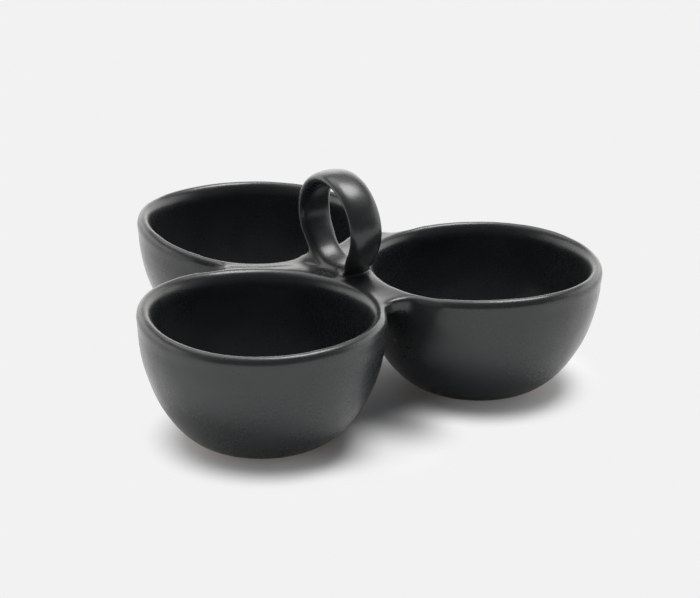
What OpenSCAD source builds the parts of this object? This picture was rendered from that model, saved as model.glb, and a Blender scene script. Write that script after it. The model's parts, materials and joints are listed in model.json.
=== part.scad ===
// Serving dish of three round stoneware bowls, luted to a three-armed saddle that carries a loop handle.
// The frame's origin is the middle of the whole outline, on the table. +X runs along the two front bowls.

/* [Bowls] */
// Height of the rims above the table
rim_h = 67.8; // [50:0.2:100]
// Outside diameter of the left bowl
left_d = 121.8; // [96:0.2:150]
// Outside diameter of the right bowl
right_d = 123.6; // [96:0.2:150]
// Outside diameter of the rear bowl
rear_d = 124.8; // [96:0.2:150]
// Width of the rounded rim
rim_w = 5.8; // [4.4:0.1:8]
// How far the rim stands proud of the wall below it
lip_flare = 0.4; // [0.2:0.1:1.4]
// Height over which the wall flares into the rim
lip_h = 6; // [4:0.5:10]
// Thickness of a bowl's bottom
base_t = 6.4; // [4:0.2:12]
// Diameter of the level floor inside a bowl
floor_d = 38; // [20:1:60]
// Roundness of a bowl from its foot outwards, smaller for a rounder bottom
base_curve_share = 0.556; // [0.45:0.01:0.7]
// Fullness of the outer wall, smaller for a fuller bowl
outer_curve_share = 0.581; // [0.4:0.01:0.75]
// Fullness of the inner wall, smaller for a fuller hollow
inner_curve_share = 0.417; // [0.3:0.01:0.5]

/* [Spacing] */
// Narrowest gap between the two front bowls
front_gap = 6.2; // [3:0.2:14]
// Narrowest gap from the rear bowl to each front bowl
rear_gap = 8.6; // [3:0.2:14]

/* [Feet] */
// Outside diameter of a foot ring
foot_d = 55; // [40:1:70]
// Width of the foot ring's face
foot_w = 6; // [4:0.5:10]
// Height of the foot ring
foot_h = 1.4; // [0.8:0.1:4]
// How far the bowl's underside reaches past its foot ring
foot_inset = 0.6; // [0.2:0.1:3]

/* [Saddle] */
// Thickness of the saddle's arms
saddle_t = 8; // [5:0.2:12]
// How far the arms' tops lie below the rims
saddle_drop = 2.3; // [1:0.1:4]
// Radius of the hollow end of each arm, between two bowls
arm_end_r = 9.4; // [6:0.2:16]
// How far each hollow end bites into the bowls beside it, which keeps the arm's tips blunt
tip_bite = 0.3; // [0.2:0.05:0.6]
// Diameter of the raised pad under the loop
pad_d = 45; // [40:1:60]
// How much further out the pad's slope ends
pad_slope = 14; // [8:1:20]
// How near the saddle comes to the crest of each rim
crest_clear = 1.2; // [0.8:0.1:2]

/* [Loop handle] */
// Outside length of the loop, from the front to the rear
loop_span = 54.6; // [40:0.2:70]
// Outside height of the loop, as a whole ring
loop_height = 50; // [36:0.2:70]
// How far the ring's lowest point would lie below the rims
loop_sink = 1.4; // [0.6:0.1:3]
// How far the loop stands forward of the middle of the three bowls
loop_forward = 8.1; // [4:0.1:12]
// Width of the band
band_w = 18.2; // [12:0.2:24]
// Thickness of the band at the middle of its width
band_t = 5; // [3.6:0.1:8]
// How far each root spreads along the loop where it meets the saddle
root_flare = 6; // [2:0.2:8]
// How far the root spreads on each side of the band
root_spread = 3; // [1:0.2:5]

/* [Hidden] */

// Smoothness of revolved forms, and steps along a wall, over a rim, along the loop and round its band
$fn = 96;
wall_steps = 22;
rim_steps = 12;
loop_steps = 84;
band_steps = 28;
// One overrun for every cut
cut = 1;

// Squareness of the band's section as a share of an oval's, and how soon the root's underside is flat
band_edge_share = 0.78;
root_flat_share = 0.5;
// Turn from the loop's lowest point to where a root stands on the saddle, and to where it has left it
root_angle = 28;
root_end_angle = 42;

left_r = left_d / 2;
right_r = right_d / 2;
rear_r = rear_d / 2;
bead_r = rim_w / 2;
bead_z = rim_h - bead_r;
wall_z = bead_z - lip_h;
floor_z = foot_h + base_t;
under_r = foot_d / 2 + foot_inset;

// The point at distance a from p and b from q, on the right of the way from p to q
function apart(p, a, q, b) =
    let (
        d = norm(q - p),
        u = (q - p) / d,
        along = (a * a - b * b + d * d) / (2 * d),
        off = sqrt(a * a - along * along)
    )
    p + u * along + [u.y, -u.x] * off;

// The centre of an arm's hollow end, tangent to two bowls but for the bite
function arm_end(p, p_r, q, q_r) =
    apart(p, p_r + arm_end_r - tip_bite, q, q_r + arm_end_r - tip_bite);

// Bowl centres, first from the middle of the front gap and then from the frame's origin
left_first = [-front_gap / 2 - left_r, 0];
right_first = [front_gap / 2 + right_r, 0];
rear_first = apart(right_first, right_r + rear_r + rear_gap, left_first, left_r + rear_r + rear_gap);
middle = [
    (right_first.x + right_r + left_first.x - left_r) / 2,
    (rear_first.y + rear_r - max(left_r, right_r)) / 2
];
left_at = left_first - middle;
right_at = right_first - middle;
rear_at = rear_first - middle;
hub_at = (left_at + right_at + rear_at) / 3;
loop_at = hub_at - [0, loop_forward];

front_end_at = arm_end(left_at, left_r, right_at, right_r);
right_end_at = arm_end(right_at, right_r, rear_at, rear_r);
left_end_at = arm_end(rear_at, rear_r, left_at, left_r);

arm_top = rim_h - saddle_drop;
arm_low = arm_top - saddle_t;

loop_mid_z = rim_h - loop_sink + loop_height / 2;
loop_half_y = (loop_span - band_t) / 2;
loop_half_z = (loop_height - band_t) / 2;

// Radius of a cup's wall at a share s of its height, from the radius low to the radius high
function cup_r(s, low, high, curve_share) =
    low + (high - low) * pow(1 - pow(1 - s, 1 / base_curve_share), curve_share);

// Steps that lie closer together near the bottom, where the wall turns fastest
function wall_share(i) = pow(i / wall_steps, 2);

function outer_wall(bowl_r) = [
    for (i = [0 : wall_steps])
        let (s = wall_share(i))
        [cup_r(s, under_r, bowl_r - lip_flare, outer_curve_share), foot_h + (wall_z - foot_h) * s]
];

function inner_wall(bowl_r) = [
    for (i = [wall_steps : -1 : 0])
        let (s = wall_share(i))
        [cup_r(s, floor_d / 2, bowl_r - rim_w, inner_curve_share), floor_z + (wall_z - floor_z) * s]
];

function rim_arc(bowl_r, turn) = [
    for (i = [0 : rim_steps])
        [bowl_r - bead_r + bead_r * cos(turn * i / rim_steps), bead_z + bead_r * sin(turn * i / rim_steps)]
];

module bowl(at, bowl_r) {
    translate(at)
        rotate_extrude()
            polygon(concat(
                [[0, foot_h]],
                outer_wall(bowl_r),
                rim_arc(bowl_r, 180),
                inner_wall(bowl_r),
                [[0, floor_z]]
            ));
}

// The room that a bowl takes up beside the saddle, open at the top
module bowl_room(at, bowl_r) {
    crest_turn = acos(crest_clear / bead_r);
    translate(at)
        rotate_extrude()
            polygon(concat(
                [[0, foot_h]],
                outer_wall(bowl_r),
                rim_arc(bowl_r, crest_turn),
                [[bowl_r - bead_r + crest_clear, rim_h + cut], [0, rim_h + cut]]
            ));
}

module foot(at) {
    translate(at)
        difference() {
            cylinder(h = foot_h, d = foot_d);
            translate([0, 0, -cut])
                cylinder(h = foot_h + 2 * cut, d = foot_d - 2 * foot_w);
        }
}

// Cuts the hollow, round-edged end of an arm
module arm_end_cut(at) {
    edge_r = saddle_t / 2;
    translate(at)
        rotate_extrude()
            difference() {
                translate([0, arm_low - cut])
                    square([arm_end_r + edge_r, saddle_t + 2 * cut]);
                translate([arm_end_r + edge_r, arm_low + edge_r])
                    circle(r = edge_r);
            }
}

module saddle() {
    color("dimgray")
        difference() {
            union() {
                translate([0, 0, arm_low])
                    linear_extrude(saddle_t)
                        polygon([left_at, front_end_at, right_at, right_end_at, rear_at, left_end_at]);
                translate([loop_at.x, loop_at.y, arm_top])
                    cylinder(h = saddle_drop, d1 = pad_d + 2 * pad_slope, d2 = pad_d);
            }
            bowl_room(left_at, left_r);
            bowl_room(right_at, right_r);
            bowl_room(rear_at, rear_r);
            arm_end_cut(front_end_at);
            arm_end_cut(right_end_at);
            arm_end_cut(left_end_at);
        }
}

// A number's power with its sign kept
function signed_pow(v, power) = sign(v) * pow(abs(v), power);

// How much of the root shows at a turn from the loop's lowest point: 1 on the saddle, 0 clear of it
function root_part(turn) =
    let (s = min(1, max(0, (root_end_angle - turn) / (root_end_angle - root_angle))))
    s * s * (3 - 2 * s);

// A point of the loop's surface, at an angle a along the loop and an angle b round the band
function loop_point(a, b) =
    let (
        out = [loop_half_z * cos(a), loop_half_y * sin(a)] / norm([loop_half_z * cos(a), loop_half_y * sin(a)]),
        across = band_w / 2 * signed_pow(cos(b), band_edge_share),
        outward = band_t / 2 * signed_pow(sin(b), band_edge_share),
        turn = abs(a - 270),
        under = root_part(turn) * min(1, max(0, outward / (band_t / 2 * root_flat_share))),
        flare = root_flare * under * sin(turn) / sin(root_angle) * sign(a - 270),
        y = loop_half_y * cos(a) + out.x * outward + flare,
        z = loop_mid_z + loop_half_z * sin(a) + out.y * outward,
        lowered = z - (z - rim_h) * under
    )
    [
        loop_at.x + across * (1 + root_spread / (band_w / 2) * under),
        loop_at.y + y,
        max(rim_h, lowered)
    ];

module loop_handle() {
    points = [
        for (i = [0 : loop_steps - 1])
            for (j = [0 : band_steps - 1])
                loop_point(90 + 360 * i / loop_steps, 360 * j / band_steps)
    ];
    faces = [
        for (i = [0 : loop_steps - 1])
            for (j = [0 : band_steps - 1])
                let (
                    k = (i + 1) % loop_steps,
                    m = (j + 1) % band_steps,
                    corner = [i * band_steps + j, k * band_steps + j, k * band_steps + m, i * band_steps + m]
                )
                for (face = [[corner[0], corner[1], corner[2]], [corner[0], corner[2], corner[3]]])
                    face
    ];
    color("dimgray")
        polyhedron(points, faces, convexity = 6);
}

module rear_bowl() {
    color("darkslategray")
        bowl(rear_at, rear_r);
}

module left_bowl() {
    color("darkslategray")
        bowl(left_at, left_r);
}

module right_bowl() {
    color("darkslategray")
        bowl(right_at, right_r);
}

module rear_foot() {
    color("peru")
        foot(rear_at);
}

module left_foot() {
    color("peru")
        foot(left_at);
}

module right_foot() {
    color("peru")
        foot(right_at);
}

rear_bowl();
left_bowl();
right_bowl();
rear_foot();
left_foot();
right_foot();
saddle();
loop_handle();
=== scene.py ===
import json
import math

import bpy
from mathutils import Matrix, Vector
from mathutils.bvhtree import BVHTree

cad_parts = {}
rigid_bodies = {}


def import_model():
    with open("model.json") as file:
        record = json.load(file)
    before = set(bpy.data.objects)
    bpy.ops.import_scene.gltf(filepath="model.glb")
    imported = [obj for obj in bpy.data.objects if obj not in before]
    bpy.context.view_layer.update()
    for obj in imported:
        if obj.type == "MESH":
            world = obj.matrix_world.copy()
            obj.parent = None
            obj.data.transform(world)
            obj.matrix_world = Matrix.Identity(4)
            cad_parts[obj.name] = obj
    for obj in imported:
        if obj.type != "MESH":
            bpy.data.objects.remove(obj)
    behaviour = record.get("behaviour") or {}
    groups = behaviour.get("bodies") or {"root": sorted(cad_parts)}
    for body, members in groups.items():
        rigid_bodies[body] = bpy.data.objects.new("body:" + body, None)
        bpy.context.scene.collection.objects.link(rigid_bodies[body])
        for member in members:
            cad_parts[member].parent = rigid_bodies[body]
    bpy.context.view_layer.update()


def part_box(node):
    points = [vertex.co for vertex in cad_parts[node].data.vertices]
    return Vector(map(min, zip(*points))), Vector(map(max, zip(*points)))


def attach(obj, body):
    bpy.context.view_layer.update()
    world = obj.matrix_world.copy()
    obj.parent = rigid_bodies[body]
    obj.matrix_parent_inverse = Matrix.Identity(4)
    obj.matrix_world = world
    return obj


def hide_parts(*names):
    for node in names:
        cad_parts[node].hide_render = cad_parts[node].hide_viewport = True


# A serving dish of three luted stoneware bowls with a loop handle.
# The clay is modelled as one body and its seams are smoothed, as a potter's sponge does.
# The body is then parted at the luted seams, into one closed piece for each node of glazed clay.
# The three foot rings of bare clay are spun on their own.

bpy.ops.object.select_all(action="SELECT")
bpy.ops.object.delete()
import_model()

MM = 0.001

# Bowls
RIM_WIDTH = 5.8 * MM
LIP_FLARE = 0.1 * MM
LIP_HEIGHT = 6 * MM
BASE_THICKNESS = 6.4 * MM
FLOOR_RADIUS = 19 * MM
BOTTOM_CURVE = 1.8
OUTER_CURVE = 0.575
INNER_CURVE = 0.417
TURN_STEPS = 192
WALL_STEPS = 26
RIM_STEPS = 20
# The rim rolls over from its crest: down its outer side, and inwards and down its inner side
RIM_OUTER_REACH = 3.2 * MM
RIM_OUTER_DROP = 4.6 * MM
RIM_INNER_DROP = 8.5 * MM
RIM_INNER_REACH = {"left": 4.8 * MM, "right": 4.0 * MM, "rear": 4.4 * MM}

# Foot rings
FOOT_WIDTH = 6 * MM
FOOT_INSET = 0.6 * MM
FOOT_ROUND = 0.45 * MM
FOOT_CORNER_STEPS = 4

# Saddle
ARM_THICKNESS = 8 * MM
ARM_DROP = 0.6 * MM
ARM_END_RADIUS = 9.4 * MM
ARM_EDGE = 2.6 * MM
ARM_EDGE_STEPS = 5
ARM_EDGE_ANGLE = math.radians(50)
ARM_STEPS = 96
PAD_RADIUS = 22.5 * MM
PAD_SLOPE = 14 * MM
PAD_BURIED = 1 * MM

# Loop handle: a strap with a crown outside and a flatter inside, as shares of half its thickness,
# and the powers that square its section
BAND_WIDTH = 18.2 * MM
BAND_THICKNESS = 5.0 * MM
BAND_CROWN = 1.32
BAND_INNER = 0.85
BAND_ACROSS_POWER = 0.86
BAND_INNER_POWER = 0.8
BAND_SECTION_STEPS = 48
BAND_STEPS = 180
LOOP_SINK = 1.4 * MM
# Its top leans back, and it is heavier inside at one turn from the upright
LOOP_LEAN = 2.2 * MM
BAND_HEAVY = 0.8
BAND_HEAVY_TURN = math.radians(25)
# Its roots taper upwards, from a base that leans back
ROOT_TOP = 78 * MM
ROOT_BOTTOM = 62 * MM
ROOT_HALF_LENGTH = 20.5 * MM, 24 * MM
ROOT_HALF_WIDTH = 9.2 * MM, 11.5 * MM
ROOT_LEAN = Vector((0, 3.5 * MM, 0))
# Lumps of clay are added with these sizes and places, and a thumb has pressed one out
LUMP_STEPS = 48
HEEL_SIZE = Vector((5.2 * MM, 9 * MM, 6 * MM))
HEEL_PLACE = Vector((-8 * MM, 18.4 * MM, 66 * MM))
THUMB_SIZE = Vector((5.5 * MM, 12 * MM, 4.8 * MM))
THUMB_PLACE = Vector((-10.7 * MM, -4.5 * MM, 70.8 * MM))
THUMB_TURN = math.radians(-22), 0, math.radians(20)
SHOULDER_SIZE = Vector((3.5 * MM, 9 * MM, 11 * MM))
SHOULDER_SETBACK = 3.5 * MM
SHOULDER_DROP = 7.6 * MM
SHOULDER_TURN = math.radians(-15)

# Clay body: grain of the modelling, and how often and how much it is smoothed
CLAY_VOXEL = 1.0 * MM
SKIN_PASSES = 4
SMOOTH_SHARE = 0.5
SHARP_ANGLE = math.radians(40)
# Reach of the smoothed seams, and the heights between which the loop's own form takes over
SEAM_REACH = 4.5 * MM
SEAM_FADE = 6 * MM
SEAM_PASSES = 44
LOOP_BLEND = 80 * MM, 86 * MM
# The saddle round the loop's foot is stroked smoother still
STROKED_MIDDLE = Vector((0, 0, 69 * MM))
STROKED_HALF = Vector((22 * MM, 32 * MM, 3.5 * MM))
STROKED_FADE = 6 * MM
STROKED_PASSES = 16
# Grain and depth of the hand's unevenness, and the height from which it starts
HAND_GRAIN = 16 * MM
HAND_DETAIL = 1
HAND_DEPTH = 0.35 * MM
HAND_FROM = 6 * MM
# How far outside a bowl, and how high above the rims, the pieces part
PARTING = 0.35 * MM
LOOP_PARTING = 2.4 * MM
OVERRUN = 20 * MM
ABOVE_WIDTH = 400 * MM
ABOVE_HEIGHT = 80 * MM

# How far each rim strays from a level circle, turned from the dish's middle outwards:
# lift, tilt, oval, side tilt, skewed oval, and three waves round the rim in two phases
RIM_WAVES = {
    "left": (-0.5 * MM, 1.0 * MM, -0.9 * MM, -1.4 * MM, -0.3 * MM, -0.4 * MM, 0),
    "right": (-1.1 * MM, -0.2 * MM, -0.4 * MM, -0.5 * MM, -0.2 * MM, -0.4 * MM, 0.3 * MM),
    "rear": (-0.5 * MM, 1.6 * MM, -0.9 * MM, 0.3 * MM, 1.5 * MM, -0.2 * MM, -0.6 * MM),
}
# How far each rim leans to one side of its foot
RIM_LEANS = {
    "left": Vector((0.3 * MM, -0.2 * MM, 0)),
    "right": Vector((1.25 * MM, -0.8 * MM, 0)),
    "rear": Vector((-0.3 * MM, 0.2 * MM, 0)),
}
# The waves grow with this power of the height and fade out above the rims between these heights
WAVE_RISE = 1.5
WAVE_FADE = 1 * MM, 12 * MM
# How gently one bowl's wave gives way to the next one's across the saddle
WAVE_SHARE_REACH = 0.8 * MM

# Places of the colour mix node's factor and two colours among its inputs, and of its colour output
MIX_INPUTS = 0, 6, 7
MIX_RESULT = 2

# Fired surface: noise of its clouds and stipple, which cells carry a speck, and how deep a speck is
CLOUD_NOISE = {"Detail": 4.0, "Roughness": 0.6}
CLOUD_CONTRAST = 0.32, 0.68
STIPPLE_NOISE = {"Detail": 3.0, "Roughness": 0.55}
SPECKED_CELLS = 0.55, 0.75
SPECK_PIT = 0.15

# Satin black glaze
GLAZE_SURFACE = {"Cloud Scale": 26.0, "Stipple Scale": 620.0, "Speck Scale": 230.0, "Speck Size": 0.16}
GLAZE_DARK = (0.0148, 0.0172, 0.0182, 1)
GLAZE_PALE = (0.0190, 0.0218, 0.0226, 1)
GLAZE_THIN = (0.034, 0.029, 0.024, 1)
GLAZE_HEM = (0.30, 0.155, 0.075, 1)
GLAZE_SPECK = (0.050, 0.046, 0.040, 1)
GLAZE_SPECK_SHARE = 0.25
GLAZE_ROUGHNESS = 0.235
GLAZE_CLOUD_ROUGHNESS = 0.03
GLAZE_STIPPLE_ROUGHNESS = 0.06
GLAZE_BUMP = {"Strength": 0.35, "Distance": 0.12 * MM}
GLAZE_IOR = 1.5
# It thins over the crest of a rim, between heights from the rim's, and in a ragged hem above the foot
GLAZE_RAGGED = 0.8 * MM
CREST_FROM = -1.2 * MM, 1.0 * MM
CREST_UNTIL = 2.0 * MM, 4.0 * MM
CREST_SHARE = 0.25
HEM_TOP = 3.6 * MM, 5.8 * MM
HEM_SHARE = 0.9

# Bare clay
CLAY_SURFACE = {"Cloud Scale": 90.0, "Stipple Scale": 1500.0, "Speck Scale": 420.0, "Speck Size": 0.3}
CLAY_DARK = (0.42, 0.190, 0.080, 1)
CLAY_PALE = (0.58, 0.290, 0.130, 1)
CLAY_SPECK = (0.05, 0.030, 0.020, 1)
CLAY_SPECK_SHARE = 0.7
CLAY_ROUGHNESS = 0.78
CLAY_STIPPLE_ROUGHNESS = 0.15
CLAY_BUMP = {"Strength": 0.6, "Distance": 0.15 * MM}
CLAY_SPECULAR = 0.15

# Camera
CAMERA_PLACE = (-610.8 * MM, -1001.7 * MM, 506.6 * MM)
CAMERA_TURN = math.radians(-32.31)
CAMERA_DIP = math.radians(21.72)
CAMERA_LENS = 124.2
CAMERA_FAR = 100

# Floor: the shadow shows round each bowl, the hub and a place before the dish, and fades out between
# two distances. A little of the even background lifts it round the bowls.
FLOOR_SIZE = 12.0
FLOOR_COLOUR = (0.80, 0.80, 0.80, 1)
FLOOR_ROUGHNESS = 0.9
BACKGROUND = (0.888, 0.888, 0.888, 1)
SHADOW_ASIDE = 4 * MM
SHADOW_AT_BOWL = 40 * MM, 65 * MM
SHADOW_LIFT = 0.10
SHADOW_AT_HUB = 44 * MM, 84 * MM
SHADOW_FRONT = (-24 * MM, -88 * MM, 0)
SHADOW_AT_FRONT = 14 * MM, 52 * MM

# Studio: the way to its bright side, and where its walls end, its ceiling starts and the room turns dim
STUDIO_BACK = (0.37, 0.93, 0)
STUDIO_TURN = -0.55, 0.25
STUDIO_WALL_TOP = 0.42, 0.58
STUDIO_CEILING_RIM = 0.60, 0.78
STUDIO_WALL = (2.20, 2.18, 2.12, 1)
STUDIO_CEILING = (1.25, 1.24, 1.20, 1)
STUDIO_ROOM = (0.14, 0.15, 0.16, 1)
# Name, azimuth, elevation and spread in degrees, and strength of each light
SUNS = [
    ("key", 10.0, 72.0, 30.0, 2.4),
    ("back", 90.0, 60.0, 34.0, 0.45),
]
SUN_PLACE = (0, 0, 1.5)


def select_only(*objects):
    """Leaves only these objects selected, the first of them active."""
    bpy.ops.object.select_all(action="DESELECT")
    for obj in objects:
        obj.select_set(True)
    bpy.context.view_layer.objects.active = objects[0]


def added(name):
    """Names the primitive that was just added and moves its place into its mesh."""
    obj = bpy.context.object
    obj.name = name
    obj.data.name = name
    select_only(obj)
    bpy.ops.object.transform_apply(location=True, rotation=True, scale=True)
    return obj


def copied(obj, name):
    """A copy of a mesh object with a mesh of its own."""
    select_only(obj)
    bpy.ops.object.duplicate()
    twin = bpy.context.object
    twin.name = name
    twin.data.name = name
    return twin


def removed(*objects):
    select_only(*objects)
    bpy.ops.object.delete()


def joined(name, *objects):
    select_only(*objects)
    bpy.ops.object.join()
    whole = bpy.context.object
    whole.name = name
    whole.data.name = name
    return whole


def apply_modifier(obj, kind, **settings):
    """Adds a modifier with these settings and applies it."""
    select_only(obj)
    modifier = obj.modifiers.new(kind.lower(), kind)
    for key, value in settings.items():
        setattr(modifier, key, value)
    bpy.ops.object.modifier_apply(modifier=modifier.name)


def cut(obj, cutter, operation="DIFFERENCE", solver="EXACT"):
    """Cuts obj by another closed solid, which stays."""
    apply_modifier(obj, "BOOLEAN", object=cutter, operation=operation, solver=solver)


def turn_solid(name, centre, outline):
    """Throws a closed round solid: each radius and height of the outline is a ring drawn up."""
    first_r, first_z = outline[0]
    bpy.ops.object.select_all(action="DESELECT")
    bpy.ops.mesh.primitive_circle_add(
        vertices=TURN_STEPS, radius=first_r, fill_type="NGON", location=(centre.x, centre.y, first_z)
    )
    obj = added(name)
    bpy.ops.object.mode_set(mode="EDIT")
    bpy.ops.mesh.select_all(action="SELECT")
    last_r, last_z = first_r, first_z
    for r, z in outline[1:]:
        bpy.ops.mesh.extrude_region_move(TRANSFORM_OT_translate={"value": (0, 0, z - last_z)})
        grow = r / last_r
        bpy.ops.transform.resize(value=(grow, grow, 1), center_override=(centre.x, centre.y, z))
        last_r, last_z = r, z
    bpy.ops.mesh.select_all(action="SELECT")
    bpy.ops.mesh.normals_make_consistent(inside=False)
    bpy.ops.object.mode_set(mode="OBJECT")
    return obj


def spin_ring(name, section, centre, axis, steps):
    """A closed ring: an outline of points is laid out and spun once round an axis through the centre."""
    bpy.ops.object.select_all(action="DESELECT")
    bpy.ops.mesh.primitive_circle_add(vertices=len(section), location=(0, 0, 0))
    obj = added(name)
    for vertex, point in zip(obj.data.vertices, section):
        vertex.co = point
    bpy.ops.object.mode_set(mode="EDIT")
    bpy.ops.mesh.select_all(action="SELECT")
    bpy.ops.mesh.spin(steps=steps, angle=2 * math.pi, center=centre, axis=axis)
    bpy.ops.mesh.select_all(action="SELECT")
    bpy.ops.mesh.remove_doubles(threshold=0.01 * MM)
    bpy.ops.mesh.normals_make_consistent(inside=False)
    bpy.ops.object.mode_set(mode="OBJECT")
    return obj


def cup_radius(share, low, high, curve):
    """Radius of a bowl's wall at a share of its height."""
    return low + (high - low) * (1 - (1 - share) ** BOTTOM_CURVE) ** curve


class Bowl:
    """The sizes of one bowl, read from its CAD node and its foot's."""

    def __init__(self, side):
        low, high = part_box(side + "_bowl")
        foot_low, foot_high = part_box(side + "_foot")
        self.side = side
        self.centre = (low + high) / 2
        self.radius = (high.x - low.x) / 2
        self.rim_z = high.z
        self.under_z = low.z
        self.foot_z = foot_low.z
        self.foot_radius = (foot_high.x - foot_low.x) / 2
        self.under_radius = self.foot_radius + FOOT_INSET
        self.bead_z = self.rim_z - RIM_WIDTH / 2
        self.wall_z = self.bead_z - LIP_HEIGHT
        self.floor_z = self.under_z + BASE_THICKNESS
        self.inner_reach = RIM_INNER_REACH[side]

    def outer_outline(self, proud=0.0):
        """The outside from the foot up to where the rim turns over."""
        points = []
        for i in range(WALL_STEPS + 1):
            share = (i / WALL_STEPS) ** 2
            r = cup_radius(share, self.under_radius, self.radius - LIP_FLARE, OUTER_CURVE)
            points.append((r + proud, self.under_z + (self.wall_z - self.under_z) * share))
        return points

    def rim_outline(self):
        """The rounded rim, from its outer side over to its inner side."""
        bead = RIM_WIDTH / 2
        points = []
        for i in range(RIM_STEPS + 1):
            turn = math.pi * i / RIM_STEPS
            outer = math.cos(turn) > 0
            reach = RIM_OUTER_REACH if outer else self.inner_reach
            drop = RIM_OUTER_DROP if outer else RIM_INNER_DROP
            r = self.radius - bead + reach * math.cos(turn)
            points.append((r, self.rim_z - drop + drop * math.sin(turn)))
        return points

    def inner_outline(self):
        """The hollow, from below the rim down to its floor."""
        points = []
        for i in range(WALL_STEPS, -1, -1):
            share = (i / WALL_STEPS) ** 2
            r = cup_radius(share, FLOOR_RADIUS, self.radius - RIM_WIDTH / 2 - self.inner_reach, INNER_CURVE)
            points.append((r, self.floor_z + (self.wall_z - self.floor_z) * share))
        return points

    def turned(self):
        outline = self.outer_outline() + self.rim_outline() + self.inner_outline()
        return turn_solid(self.side + "_turned", self.centre, outline)

    def room(self):
        """All the space that belongs to this bowl, out to where the saddle's seam parts from it."""
        low_r, low_z = self.outer_outline(PARTING)[0]
        outline = [(low_r, low_z - OVERRUN)] + self.outer_outline(PARTING)
        rim_r = self.radius - RIM_WIDTH / 2 + RIM_OUTER_REACH + PARTING
        outline += [(rim_r, self.bead_z), (rim_r, self.rim_z + OVERRUN)]
        return turn_solid(self.side + "_room", self.centre, outline)

    def make_foot(self):
        """A ring of bare clay with softened corners."""
        inner = self.foot_radius - FOOT_WIDTH
        corners = [
            (self.foot_radius, self.foot_z, 0),
            (self.foot_radius, self.under_z, 1),
            (inner, self.under_z, 2),
            (inner, self.foot_z, 3),
        ]
        section = []
        for r, z, quarter in corners:
            out = 1 if quarter < 2 else -1
            rise = 1 if quarter in (1, 2) else -1
            mid_r = r - out * FOOT_ROUND
            mid_z = z - rise * FOOT_ROUND
            for i in range(FOOT_CORNER_STEPS + 1):
                turn = math.pi / 2 * (quarter - 1 + i / FOOT_CORNER_STEPS)
                x = mid_r + FOOT_ROUND * math.cos(turn)
                section.append((self.centre.x + x, self.centre.y, mid_z + FOOT_ROUND * math.sin(turn)))
        return spin_ring(
            self.side + "_foot_ring", section, (self.centre.x, self.centre.y, 0), (0, 0, 1), TURN_STEPS
        )


bowls = {side: Bowl(side) for side in ("left", "right", "rear")}
rim_z = bowls["left"].rim_z
hub = sum((b.centre for b in bowls.values()), Vector()) / len(bowls)
loop_low, loop_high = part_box("loop_handle")
loop_middle = Vector(((loop_low.x + loop_high.x) / 2, (loop_low.y + loop_high.y) / 2, 0))
loop_half_y = (loop_high.y - loop_low.y - BAND_THICKNESS) / 2
loop_half_z = (loop_high.z - rim_z + LOOP_SINK - BAND_THICKNESS) / 2
loop_middle.z = loop_high.z - BAND_THICKNESS / 2 - loop_half_z


def arm_end(first, second):
    """The middle of the hollow end between two bowls, on the right of the way from one to the other."""
    start = Vector((first.centre.x, first.centre.y))
    way = Vector((second.centre.x, second.centre.y)) - start
    far_first = first.radius + ARM_END_RADIUS
    far_second = second.radius + ARM_END_RADIUS
    along = (far_first**2 - far_second**2 + way.length_squared) / (2 * way.length)
    off = math.sqrt(far_first**2 - along**2)
    unit = way.normalized()
    return start + unit * along + Vector((unit.y, -unit.x)) * off


def make_saddle():
    """A slab with a raised pad, cut back into the rims of the bowls and hollowed at its three ends."""
    ring = [bowls["left"], bowls["right"], bowls["rear"]]
    corners = []
    ends = []
    for i, bowl in enumerate(ring):
        end = arm_end(bowl, ring[(i + 1) % len(ring)])
        ends.append(end)
        corners += [Vector((bowl.centre.x, bowl.centre.y)), end]
    top = rim_z - ARM_DROP
    bpy.ops.object.select_all(action="DESELECT")
    bpy.ops.mesh.primitive_circle_add(vertices=len(corners), fill_type="NGON", location=(0, 0, 0))
    slab = added("saddle_clay")
    for vertex, corner in zip(slab.data.vertices, corners):
        vertex.co = (corner.x, corner.y, top - ARM_THICKNESS)
    bpy.ops.object.mode_set(mode="EDIT")
    bpy.ops.mesh.select_all(action="SELECT")
    bpy.ops.mesh.extrude_region_move(TRANSFORM_OT_translate={"value": (0, 0, ARM_THICKNESS)})
    bpy.ops.mesh.select_all(action="SELECT")
    bpy.ops.mesh.normals_make_consistent(inside=False)
    bpy.ops.object.mode_set(mode="OBJECT")

    rise = ARM_DROP + PAD_BURIED
    bpy.ops.object.select_all(action="DESELECT")
    bpy.ops.mesh.primitive_cone_add(
        vertices=ARM_STEPS,
        radius1=PAD_RADIUS + PAD_SLOPE * rise / ARM_DROP,
        radius2=PAD_RADIUS,
        depth=rise,
        location=(loop_middle.x, loop_middle.y, rim_z - rise / 2),
    )
    pad = added("pad")
    cut(slab, pad, "UNION")
    removed(pad)
    for bowl in ring:
        bpy.ops.object.select_all(action="DESELECT")
        bpy.ops.mesh.primitive_cylinder_add(
            vertices=TURN_STEPS,
            radius=bowl.radius - RIM_WIDTH / 2,
            depth=ARM_THICKNESS + OVERRUN,
            location=(bowl.centre.x, bowl.centre.y, top),
        )
        hollow = added("hollow")
        cut(slab, hollow)
        removed(hollow)
    for end in ends:
        bpy.ops.object.select_all(action="DESELECT")
        bpy.ops.mesh.primitive_cylinder_add(
            vertices=ARM_STEPS,
            radius=ARM_END_RADIUS,
            depth=ARM_THICKNESS + OVERRUN,
            location=(end.x, end.y, top),
        )
        hollow = added("hollow")
        cut(slab, hollow)
        removed(hollow)
    apply_modifier(
        slab,
        "BEVEL",
        width=ARM_EDGE,
        segments=ARM_EDGE_STEPS,
        limit_method="ANGLE",
        angle_limit=ARM_EDGE_ANGLE,
    )
    return slab


def signed_power(value, power):
    return math.copysign(abs(value) ** power, value)


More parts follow.
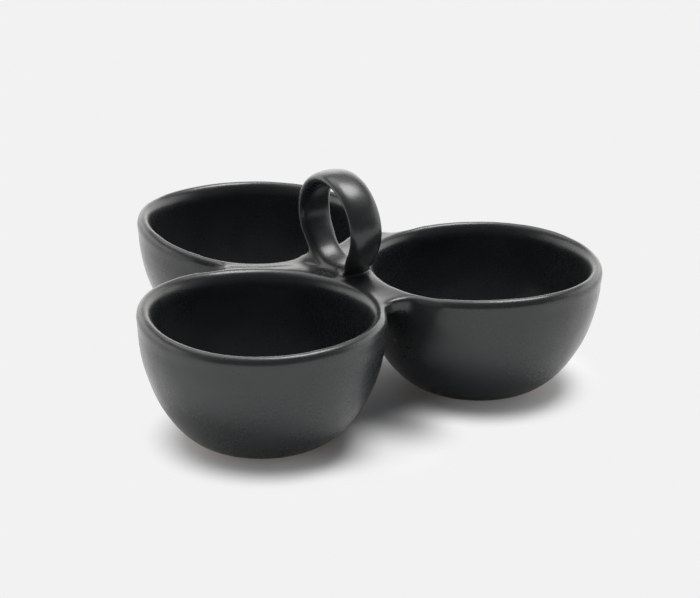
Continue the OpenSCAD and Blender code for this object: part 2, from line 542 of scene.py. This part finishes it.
def make_band():
    """A strap bent into a ring: crowned outside, flatter inside, with rounded edges."""
    section = []
    for i in range(BAND_SECTION_STEPS):
        turn = 2 * math.pi * i / BAND_SECTION_STEPS
        across = BAND_WIDTH / 2 * signed_power(math.cos(turn), BAND_ACROSS_POWER)
        if math.sin(turn) >= 0:
            out = BAND_THICKNESS / 2 * BAND_CROWN * math.sin(turn)
        else:
            out = BAND_THICKNESS / 2 * BAND_INNER * signed_power(math.sin(turn), BAND_INNER_POWER)
        section.append((loop_middle.x + across, loop_middle.y, loop_middle.z + loop_half_y + out))
    band = spin_ring("loop_band", section, tuple(loop_middle), (1, 0, 0), BAND_STEPS)
    squeeze_loop(band, loop_half_z / loop_half_y)
    for vertex in band.data.vertices:
        y = (vertex.co.y - loop_middle.y) / loop_half_y
        z = (vertex.co.z - loop_middle.z) / loop_half_z
        reach = math.hypot(y, z)
        if reach < 1:
            heavy = BAND_HEAVY * max(0.0, math.cos(math.atan2(y, z) - BAND_HEAVY_TURN)) ** 2
            grow = (1 + (reach - 1) * (1 + heavy)) / reach
            vertex.co.y = loop_middle.y + y * grow * loop_half_y
            vertex.co.z = loop_middle.z + z * grow * loop_half_z
        height = max(0.0, vertex.co.z - rim_z) / (loop_high.z - rim_z)
        vertex.co.y += LOOP_LEAN * height**2
    return band


def squeeze_loop(obj, share):
    """Presses a round loop to its oval."""
    select_only(obj)
    bpy.ops.object.mode_set(mode="EDIT")
    bpy.ops.mesh.select_all(action="SELECT")
    bpy.ops.transform.resize(value=(1, 1, share), center_override=tuple(loop_middle))
    bpy.ops.object.mode_set(mode="OBJECT")


def make_roots():
    """The strap's ends, thumbed out onto the saddle, below the loop's finger hole."""
    top_length, base_length = ROOT_HALF_LENGTH
    top_width, base_width = ROOT_HALF_WIDTH
    bpy.ops.object.select_all(action="DESELECT")
    bpy.ops.mesh.primitive_circle_add(
        vertices=ARM_STEPS, radius=1, fill_type="NGON", location=(loop_middle.x, loop_middle.y, ROOT_BOTTOM)
    )
    root = bpy.context.object
    root.scale = (base_width, base_length, 1)
    root.location += ROOT_LEAN
    root = added("roots")
    bpy.ops.object.mode_set(mode="EDIT")
    bpy.ops.mesh.select_all(action="SELECT")
    rise = Vector((0, 0, ROOT_TOP - ROOT_BOTTOM)) - ROOT_LEAN
    bpy.ops.mesh.extrude_region_move(TRANSFORM_OT_translate={"value": tuple(rise)})
    bpy.ops.transform.resize(
        value=(top_width / base_width, top_length / base_length, 1),
        center_override=(loop_middle.x, loop_middle.y, ROOT_TOP),
    )
    bpy.ops.mesh.select_all(action="SELECT")
    bpy.ops.mesh.normals_make_consistent(inside=False)
    bpy.ops.object.mode_set(mode="OBJECT")

    bpy.ops.object.select_all(action="DESELECT")
    bpy.ops.mesh.primitive_cylinder_add(
        vertices=BAND_STEPS,
        radius=loop_half_y - BAND_THICKNESS / 4,
        depth=BAND_WIDTH * 2,
        location=tuple(loop_middle),
        rotation=(0, math.pi / 2, 0),
    )
    hole = added("finger_hole")
    squeeze_loop(hole, loop_half_z / loop_half_y)
    cut(root, hole)
    removed(hole)
    return root


def make_lump(name, place, size, rotation=(0, 0, 0)):
    """An egg of clay, or of air to be pressed out of clay."""
    bpy.ops.object.select_all(action="DESELECT")
    bpy.ops.mesh.primitive_uv_sphere_add(
        segments=LUMP_STEPS, ring_count=LUMP_STEPS // 2, radius=1, location=tuple(place), rotation=rotation
    )
    bpy.context.object.scale = size
    return added(name)


def make_shoulder(bowl):
    """Clay pressed over the front bowl's rim, where it meets the loop's front root."""
    inward = hub - bowl.centre
    turn = math.atan2(inward.y, inward.x) + SHOULDER_TURN
    reach = bowl.radius - SHOULDER_SETBACK
    place = bowl.centre + Vector((reach * math.cos(turn), reach * math.sin(turn), 0))
    place.z = rim_z - SHOULDER_DROP
    return make_lump("shoulder", place, SHOULDER_SIZE, (0, 0, turn))


def clamped(value):
    return max(0.0, min(1.0, value))


def smooth(obj, passes, group=""):
    """Strokes the clay smooth all over, or where a vertex group says."""
    apply_modifier(obj, "SMOOTH", factor=SMOOTH_SHARE, iterations=passes, vertex_group=group)


def near_weights(body, near, reach, fade):
    """How near each point of the body lies to another shape: 1 within the reach, 0 past the fade."""
    tree = BVHTree.FromObject(near, bpy.context.evaluated_depsgraph_get())
    weights = []
    for vertex in body.data.vertices:
        _, _, _, distance = tree.find_nearest(vertex.co)
        weights.append(clamped(1 - (distance - reach) / fade))
    return weights


def weight_group(body, name, weights):
    group = body.vertex_groups.new(name=name)
    for index, weight in enumerate(weights):
        if weight > 0:
            group.add([index], weight, "REPLACE")
    return group.name


saddle_clay = make_saddle()
band = make_band()
above_loop = Vector((loop_middle.x, loop_middle.y, 0))
heel = make_lump("heel", above_loop + HEEL_PLACE, HEEL_SIZE)
roots = joined("roots", make_roots(), heel, make_shoulder(bowls["left"]))
thumb = make_lump("thumb", above_loop + THUMB_PLACE, THUMB_SIZE, THUMB_TURN)
turned = joined("turned_bowls", *[bowls[side].turned() for side in bowls])
clay_bowls = copied(turned, "clay_bowls")
clay_saddle = copied(saddle_clay, "clay_saddle")
clay_band = copied(band, "clay_band")
for pressed in (clay_band, roots):
    cut(pressed, thumb)
removed(thumb)
seam_shape = joined("seam_shape", saddle_clay, copied(roots, "clay_roots"))
clay_body = joined("clay_body", clay_bowls, clay_saddle, clay_band, roots)
clay_body.data.remesh_voxel_size = CLAY_VOXEL
bpy.ops.object.voxel_remesh()
smooth(clay_body, SKIN_PASSES)

# Away from the seams the clay goes back to its thrown and bent forms
seam = near_weights(clay_body, seam_shape, SEAM_REACH, SEAM_FADE)
low_blend, high_blend = LOOP_BLEND
on_band = [clamped((v.co.z - low_blend) / (high_blend - low_blend)) for v in clay_body.data.vertices]
on_bowl = [1 - s if v.co.z < rim_z + LOOP_PARTING else 0.0 for s, v in zip(seam, clay_body.data.vertices)]
for shape, weights in ((turned, on_bowl), (band, on_band)):
    group = weight_group(clay_body, shape.name, weights)
    apply_modifier(
        clay_body, "SHRINKWRAP", target=shape, wrap_method="NEAREST_SURFACEPOINT", vertex_group=group
    )
group = weight_group(clay_body, "seams", [s * (1 - b) for s, b in zip(seam, on_band)])
smooth(clay_body, SEAM_PASSES, group)

# Round the loop's foot the clay is stroked again
stroked = []
for vertex in clay_body.data.vertices:
    off = vertex.co - above_loop - STROKED_MIDDLE
    nearness = [1 - (abs(o) - half) / STROKED_FADE for o, half in zip(off, STROKED_HALF)]
    stroked.append(math.prod(clamped(n) for n in nearness))
smooth(clay_body, STROKED_PASSES, weight_group(clay_body, "stroked", stroked))
removed(turned, band, seam_shape)

# The hand leaves the walls slightly uneven
unevenness = bpy.data.textures.new("unevenness", "CLOUDS")
unevenness.noise_scale = HAND_GRAIN
unevenness.noise_depth = HAND_DETAIL
loose = [clamped((v.co.z - HAND_FROM) / HAND_FROM) for v in clay_body.data.vertices]
apply_modifier(
    clay_body,
    "DISPLACE",
    texture=unevenness,
    texture_coords="LOCAL",
    strength=HAND_DEPTH,
    vertex_group=weight_group(clay_body, "loose", loose),
)


def part_off(name, room):
    """Parts a closed piece off the clay body: what lies in this room. The body keeps the rest."""
    piece = copied(clay_body, name)
    cut(piece, room, "INTERSECT", "MANIFOLD")
    cut(clay_body, room, "DIFFERENCE", "MANIFOLD")
    removed(room)
    return piece


# The loop is what lies above the rims, each bowl is its own room, and the saddle is the rest
bpy.ops.object.select_all(action="DESELECT")
bpy.ops.mesh.primitive_cube_add(size=1, location=(0, 0, rim_z + LOOP_PARTING + ABOVE_HEIGHT / 2))
above = bpy.context.object
above.scale = (ABOVE_WIDTH, ABOVE_WIDTH, ABOVE_HEIGHT)
above = added("above")
clay_body.vertex_groups.clear()
select_only(clay_body)
bpy.ops.object.shade_smooth()
whole_clay = copied(clay_body, "whole_clay")
pieces = {"loop_handle": part_off("handle_loop", above)}
for side in bowls:
    pieces[side + "_bowl"] = part_off(side + "_cup", bowls[side].room())
clay_body.name = "luting_saddle"
pieces["saddle"] = clay_body


def hand_shape(point):
    """How far the rims' waves and leans carry a point of the clay."""
    shares = []
    moves = []
    for side, bowl in bowls.items():
        lift, tilt, oval, side_tilt, skew, triple, side_triple = RIM_WAVES[side]
        out = bowl.centre - hub
        away = Vector((point.x - bowl.centre.x, point.y - bowl.centre.y))
        turn = math.atan2(away.y, away.x) - math.atan2(out.y, out.x)
        rise = (
            lift
            + tilt * math.cos(turn)
            + oval * math.cos(2 * turn)
            + side_tilt * math.sin(turn)
            + skew * math.sin(2 * turn)
            + triple * math.cos(3 * turn)
            + side_triple * math.sin(3 * turn)
        )
        moves.append(RIM_LEANS[side] + Vector((0, 0, rise)))
        past = max(0.0, away.length - bowl.radius + RIM_WIDTH / 2)
        shares.append((past + WAVE_SHARE_REACH) ** -2)
    move = sum((m * s for m, s in zip(moves, shares)), Vector()) / sum(shares)
    fade_low, fade_high = WAVE_FADE
    fade = clamped(1 - (point.z - rim_z - fade_low) / (fade_high - fade_low))
    return move * max(0.0, point.z / rim_z) ** WAVE_RISE * fade * fade * (3 - 2 * fade)


for node, piece in pieces.items():
    select_only(piece)
    bpy.ops.object.shade_smooth_by_angle(angle=SHARP_ANGLE)
    # The light runs on over a luted seam as over one body
    apply_modifier(
        piece,
        "DATA_TRANSFER",
        object=whole_clay,
        use_loop_data=True,
        data_types_loops={"CUSTOM_NORMAL"},
        loop_mapping="POLYINTERP_NEAREST",
    )
    for vertex in piece.data.vertices:
        vertex.co += hand_shape(vertex.co)
    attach(piece, "root")
    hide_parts(node)
removed(whole_clay)

for side, bowl in bowls.items():
    foot = bowl.make_foot()
    select_only(foot)
    bpy.ops.object.shade_smooth_by_angle(angle=SHARP_ANGLE)
    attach(foot, "root")
    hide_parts(side + "_foot")
    pieces[side + "_foot"] = foot

# Camera and floor
bpy.ops.object.camera_add(location=CAMERA_PLACE, rotation=(math.pi / 2 - CAMERA_DIP, 0, CAMERA_TURN))
camera = bpy.context.object
camera.data.lens = CAMERA_LENS
camera.data.clip_end = CAMERA_FAR
bpy.context.scene.camera = camera

bpy.ops.mesh.primitive_plane_add(size=FLOOR_SIZE)
floor = bpy.context.object
floor.name = "floor"


class Finish:
    """A material or a node group, built node by node."""

    def __init__(self, tree):
        self.tree = tree

    def node(self, kind, settings=None, **sockets):
        """Adds a node, sets its settings and sets or links its inputs by name."""
        node = self.tree.nodes.new(kind)
        for key, value in (settings or {}).items():
            setattr(node, key, value)
        for key, value in sockets.items():
            self.feed(node, key.replace("_", " "), value)
        return node

    def feed(self, node, socket, value):
        target = node.inputs[socket] if socket in node.inputs else node.inputs[int(socket.split()[-1])]
        if isinstance(value, bpy.types.NodeSocket):
            self.tree.links.new(value, target)
        else:
            target.default_value = value

    def ramped(self, value, low, high, to_low=0.0, to_high=1.0):
        """Maps a value smoothly from one span to another."""
        node = self.node(
            "ShaderNodeMapRange",
            {"interpolation_type": "SMOOTHSTEP"},
            Value=value,
            From_Min=low,
            From_Max=high,
            To_Min=to_low,
            To_Max=to_high,
        )
        return node.outputs["Result"]

    def reckoned(self, first, second, operation="ADD"):
        node = self.node("ShaderNodeMath", {"operation": operation}, in_0=first, in_1=second)
        return node.outputs[0]

    def scaled(self, value, share):
        return self.reckoned(value, share, "MULTIPLY")

    def blended(self, share, first, second):
        """A colour between two colours."""
        node = self.tree.nodes.new("ShaderNodeMix")
        node.data_type = "RGBA"
        for index, value in zip(MIX_INPUTS, (share, first, second)):
            if isinstance(value, bpy.types.NodeSocket):
                self.tree.links.new(value, node.inputs[index])
            else:
                node.inputs[index].default_value = value
        return node.outputs[MIX_RESULT]


def new_group(name, inputs, outputs):
    tree = bpy.data.node_groups.new(name, "ShaderNodeTree")
    for socket, kind in inputs:
        tree.interface.new_socket(name=socket, in_out="INPUT", socket_type=kind)
    for socket in outputs:
        tree.interface.new_socket(name=socket, in_out="OUTPUT", socket_type="NodeSocketFloat")
    group = Finish(tree)
    group.source = tree.nodes.new("NodeGroupInput").outputs
    group.result = tree.nodes.new("NodeGroupOutput").inputs
    return group


def build_fired_surface():
    """What the kiln leaves on clay and glaze: clouds of tone, a fine stipple, and scattered specks."""
    group = new_group(
        "fired_surface",
        [
            ("Place", "NodeSocketVector"),
            ("Cloud Scale", "NodeSocketFloat"),
            ("Stipple Scale", "NodeSocketFloat"),
            ("Speck Scale", "NodeSocketFloat"),
            ("Speck Size", "NodeSocketFloat"),
        ],
        ["Cloud", "Stipple", "Speck", "Height"],
    )
    place = group.source["Place"]
    cloud = group.node(
        "ShaderNodeTexNoise", Vector=place, Scale=group.source["Cloud Scale"], **CLOUD_NOISE
    )
    stipple = group.node(
        "ShaderNodeTexNoise", Vector=place, Scale=group.source["Stipple Scale"], **STIPPLE_NOISE
    )
    speck = group.node("ShaderNodeTexVoronoi", Vector=place, Scale=group.source["Speck Scale"])
    spot = group.ramped(speck.outputs["Distance"], 0.0, group.source["Speck Size"], 1.0, 0.0)
    marked = group.ramped(speck.outputs["Color"], *SPECKED_CELLS)
    marks = group.reckoned(spot, marked, "MULTIPLY")
    links = group.tree.links
    links.new(group.ramped(cloud.outputs["Fac"], *CLOUD_CONTRAST), group.result["Cloud"])
    links.new(stipple.outputs["Fac"], group.result["Stipple"])
    links.new(marks, group.result["Speck"])
    pitted = group.reckoned(marks, SPECK_PIT, "MULTIPLY")
    links.new(group.reckoned(stipple.outputs["Fac"], pitted, "SUBTRACT"), group.result["Height"])
    return group.tree


fired_surface = build_fired_surface()


def new_finish(name):
    """A material with its Principled shader and the place of each point on the piece."""
    material = bpy.data.materials.new(name)
    material.use_nodes = True
    finish = Finish(material.node_tree)
    finish.material = material
    finish.shader = material.node_tree.nodes["Principled BSDF"]
    finish.place = finish.node("ShaderNodeTexCoord").outputs["Object"]
    return finish


def fired(finish, scales):
    """Adds the fired surface to a material, with its scales."""
    node = finish.tree.nodes.new("ShaderNodeGroup")
    node.node_tree = fired_surface
    finish.feed(node, "Place", finish.place)
    for socket, value in scales.items():
        finish.feed(node, socket, value)
    return node.outputs


def build_glaze():
    """Satin black glaze: close to black, mottled, thin and browner where it breaks over a rim or a foot."""
    finish = new_finish("satin_black_glaze")
    surface = fired(finish, GLAZE_SURFACE)
    height = finish.node("ShaderNodeSeparateXYZ", Vector=finish.place).outputs["Z"]
    toned = finish.blended(surface["Cloud"], GLAZE_DARK, GLAZE_PALE)
    ragged = finish.reckoned(height, finish.scaled(surface["Cloud"], GLAZE_RAGGED))
    rising = finish.ramped(ragged, *(rim_z + z for z in CREST_FROM), 0.0, CREST_SHARE)
    falling = finish.ramped(ragged, *(rim_z + z for z in CREST_UNTIL), 1.0, 0.0)
    broken = finish.blended(finish.reckoned(rising, falling, "MULTIPLY"), toned, GLAZE_THIN)
    hemmed = finish.blended(finish.ramped(ragged, *HEM_TOP, HEM_SHARE, 0.0), broken, GLAZE_HEM)
    speckled = finish.blended(finish.scaled(surface["Speck"], GLAZE_SPECK_SHARE), hemmed, GLAZE_SPECK)
    finish.feed(finish.shader, "Base Color", speckled)
    matt = finish.reckoned(finish.scaled(surface["Cloud"], GLAZE_CLOUD_ROUGHNESS), GLAZE_ROUGHNESS)
    grained = finish.reckoned(finish.scaled(surface["Stipple"], GLAZE_STIPPLE_ROUGHNESS), matt)
    finish.feed(finish.shader, "Roughness", grained)
    bump = finish.node("ShaderNodeBump", Height=surface["Height"], **GLAZE_BUMP)
    finish.feed(finish.shader, "Normal", bump.outputs["Normal"])
    finish.shader.inputs["IOR"].default_value = GLAZE_IOR
    return finish.material


def build_clay():
    """Bare fired clay: orange brown, dry, with iron specks."""
    finish = new_finish("bare_clay")
    surface = fired(finish, CLAY_SURFACE)
    toned = finish.blended(surface["Cloud"], CLAY_DARK, CLAY_PALE)
    speckled = finish.blended(finish.scaled(surface["Speck"], CLAY_SPECK_SHARE), toned, CLAY_SPECK)
    finish.feed(finish.shader, "Base Color", speckled)
    rough = finish.reckoned(finish.scaled(surface["Stipple"], CLAY_STIPPLE_ROUGHNESS), CLAY_ROUGHNESS)
    finish.feed(finish.shader, "Roughness", rough)
    bump = finish.node("ShaderNodeBump", Height=surface["Height"], **CLAY_BUMP)
    finish.feed(finish.shader, "Normal", bump.outputs["Normal"])
    finish.shader.inputs["Specular IOR Level"].default_value = CLAY_SPECULAR
    return finish.material


glaze = build_glaze()
clay = build_clay()
for node, piece in pieces.items():
    piece.data.materials.clear()
    piece.data.materials.append(clay if "foot" in node else glaze)


def build_floor():
    """A matt pale floor, which the camera sees as an even background away from the dish's shadow."""
    material = bpy.data.materials.new("pale_floor")
    material.use_nodes = True
    finish = Finish(material.node_tree)
    shader = material.node_tree.nodes["Principled BSDF"]
    shader.inputs["Base Color"].default_value = FLOOR_COLOUR
    shader.inputs["Roughness"].default_value = FLOOR_ROUGHNESS
    shader.inputs["Specular IOR Level"].default_value = 0
    place = finish.node("ShaderNodeTexCoord").outputs["Object"]
    spots = []
    for bowl in bowls.values():
        under = (bowl.centre.x + SHADOW_ASIDE, bowl.centre.y, 0)
        spots.append((under, SHADOW_AT_BOWL, SHADOW_LIFT))
    spots.append((tuple(hub.xy) + (0,), SHADOW_AT_HUB, 0.0))
    spots.append((SHADOW_FRONT, SHADOW_AT_FRONT, 0.0))
    clear = finish.node("ShaderNodeLightPath").outputs["Is Camera Ray"]
    for spot, span, lift in spots:
        away = finish.node("ShaderNodeVectorMath", {"operation": "DISTANCE"}, in_0=place, in_1=spot)
        clear = finish.reckoned(clear, finish.ramped(away.outputs["Value"], *span, lift), "MULTIPLY")
    even = finish.node("ShaderNodeEmission", Color=BACKGROUND)
    mixed = finish.node("ShaderNodeMixShader", in_0=clear, in_1=shader.outputs[0], in_2=even.outputs[0])
    output = material.node_tree.nodes["Material Output"]
    finish.feed(output, "Surface", mixed.outputs[0])
    return material


floor.data.materials.append(build_floor())


def build_studio():
    """Bright walls and a pale ceiling behind and beside the dish, a dim room on the camera's side."""
    world = bpy.data.worlds.new("studio")
    bpy.context.scene.world = world
    world.use_nodes = True
    studio = Finish(world.node_tree)
    direction = studio.node("ShaderNodeTexCoord").outputs["Generated"]
    rise = studio.node("ShaderNodeSeparateXYZ", Vector=direction).outputs["Z"]
    backward = studio.node(
        "ShaderNodeVectorMath", {"operation": "DOT_PRODUCT"}, in_0=direction, in_1=STUDIO_BACK
    ).outputs["Value"]
    walls = studio.blended(studio.ramped(rise, *STUDIO_WALL_TOP), STUDIO_WALL, STUDIO_ROOM)
    upper = studio.blended(studio.ramped(rise, *STUDIO_CEILING_RIM), walls, STUDIO_CEILING)
    colour = studio.blended(studio.ramped(backward, *STUDIO_TURN), STUDIO_ROOM, upper)
    studio.feed(world.node_tree.nodes["Background"], "Color", colour)


build_studio()
for name, azimuth, elevation, spread, strength in SUNS:
    bpy.ops.object.light_add(type="SUN", location=SUN_PLACE)
    sun = bpy.context.object
    sun.name = name
    sun.data.angle = math.radians(spread)
    sun.data.energy = strength
    sun.rotation_euler = (0, math.radians(90 - elevation), math.radians(azimuth))

bpy.context.scene.view_settings.view_transform = "Standard"
